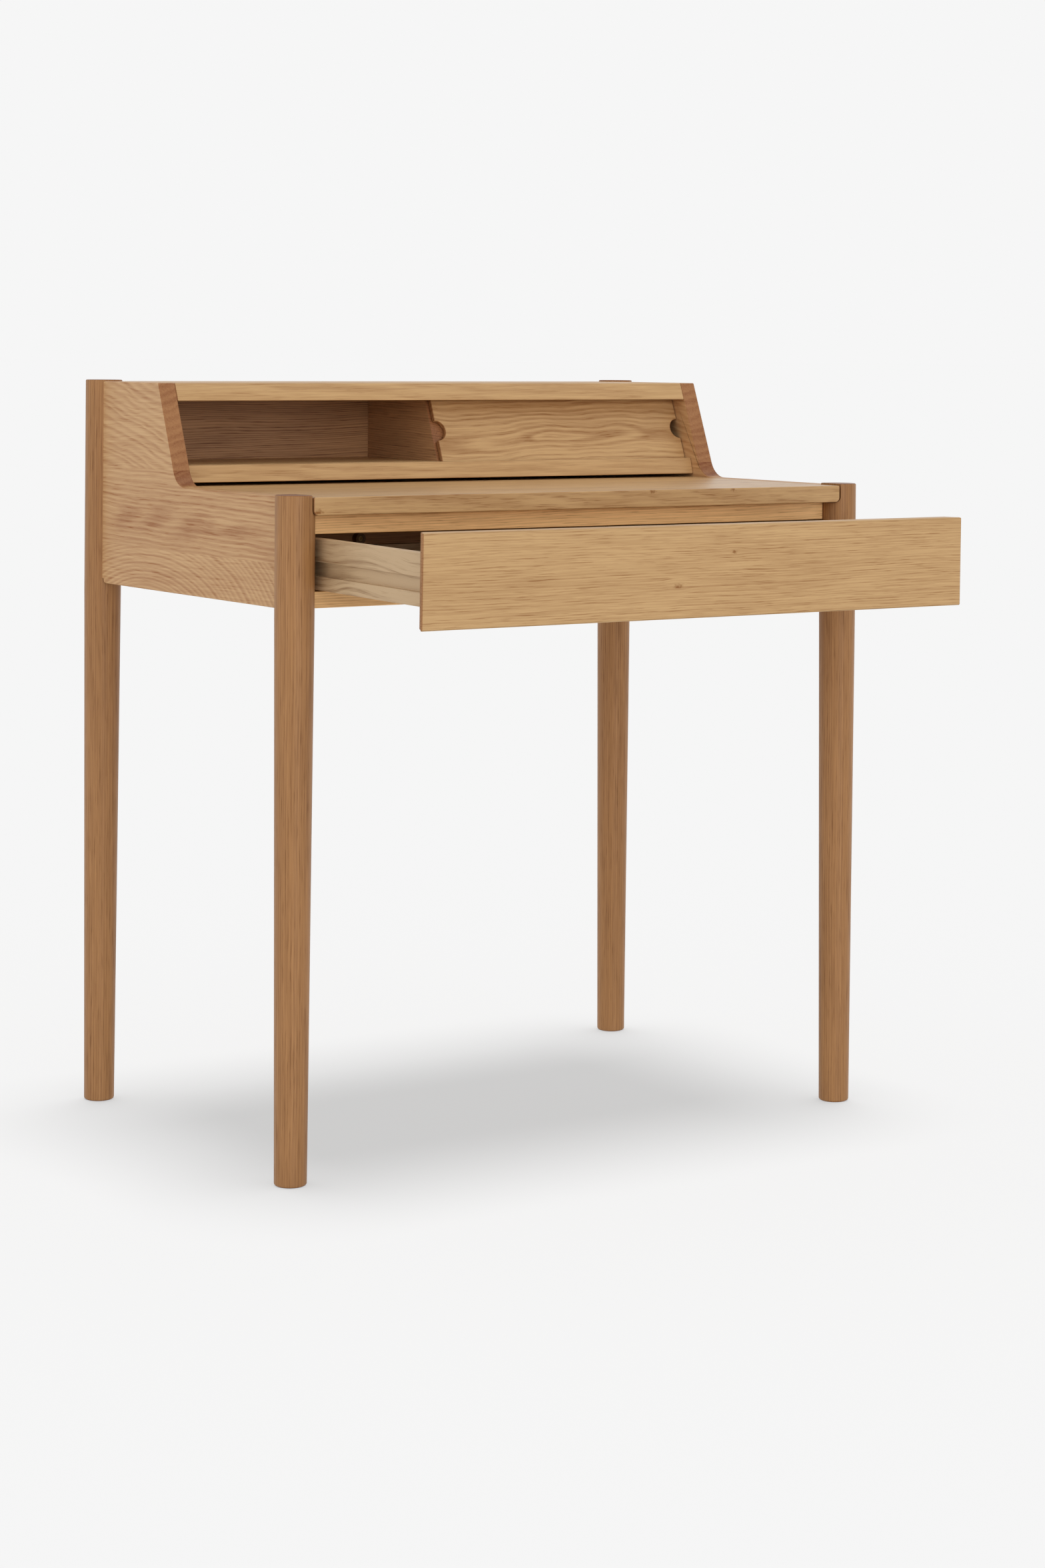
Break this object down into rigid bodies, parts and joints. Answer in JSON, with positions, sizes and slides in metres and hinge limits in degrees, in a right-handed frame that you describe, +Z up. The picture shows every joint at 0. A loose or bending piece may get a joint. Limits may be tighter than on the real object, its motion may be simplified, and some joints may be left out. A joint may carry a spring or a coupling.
{
  "type": "writing desk",
  "caption": "Oak writing desk on round tapered legs, with a raised storage row, a sliding door, a pull-out worktop and a drawer.",
  "frame": {"origin": "on the floor, midway between the four feet", "axes": "+X to the user's right, +Y from the user's side to the raised storage row at the back, +Z up"},
  "size_m": [0.8, 0.7379, 0.87],
  "materials": {
    "oak_board": "satin",
    "oak_panel": "satin",
    "oak_leg": "satin",
    "oak_inner": "matte",
    "bumper": "matte",
    "screw": "satin"
  },
  "bodies": {
    "frame": {"leg_front_left": "oak_leg", "leg_front_right": "oak_leg", "leg_rear_left": "oak_leg", "leg_rear_right": "oak_leg", "side_panel_left": "oak_panel", "side_panel_right": "oak_panel", "rear_apron": "oak_panel", "front_rail_upper": "oak_board", "front_rail_lower": "oak_board", "dust_panel": "oak_inner", "hutch_top": "oak_board", "hutch_shelf": "oak_board", "hutch_back": "oak_inner", "hutch_divider": "oak_board", "worktop_cleat_left": "oak_inner", "worktop_cleat_right": "oak_inner", "drawer_runner_left": "oak_inner", "drawer_runner_right": "oak_inner", "drawer_bumper": "bumper", "bumper_screw": "screw", "rail_dowels": "oak_inner", "apron_dowels": "oak_inner", "hutch_top_dowels": "oak_inner", "hutch_shelf_dowels": "oak_inner", "divider_dowels": "oak_inner", "runner_screws": "screw", "cleat_screws": "screw"},
    "worktop": {"worktop": "oak_board", "worktop_stop_batten": "oak_inner", "batten_screws": "screw"},
    "drawer": {"drawer_front": "oak_board", "drawer_side_left": "oak_inner", "drawer_side_right": "oak_inner", "drawer_back": "oak_inner", "drawer_bottom": "oak_inner", "drawer_front_dowels": "oak_inner", "drawer_back_dowels": "oak_inner", "drawer_bottom_screws": "screw"},
    "door": {"sliding_door": "oak_board"}
  },
  "joints": [
    {"name": "drawer_slide", "type": "slide", "parent": "frame", "child": "drawer", "axis": [0, -0.9996, -0.03], "range_m": [-0.22, 0.08]},
    {"name": "worktop_slide", "type": "slide", "parent": "frame", "child": "worktop", "axis": [0, -1, 0], "range_m": [0, 0.15]},
    {"name": "door_slide", "type": "slide", "parent": "frame", "child": "door", "axis": [-1, 0, 0], "range_m": [0, 0.361]}
  ]
}
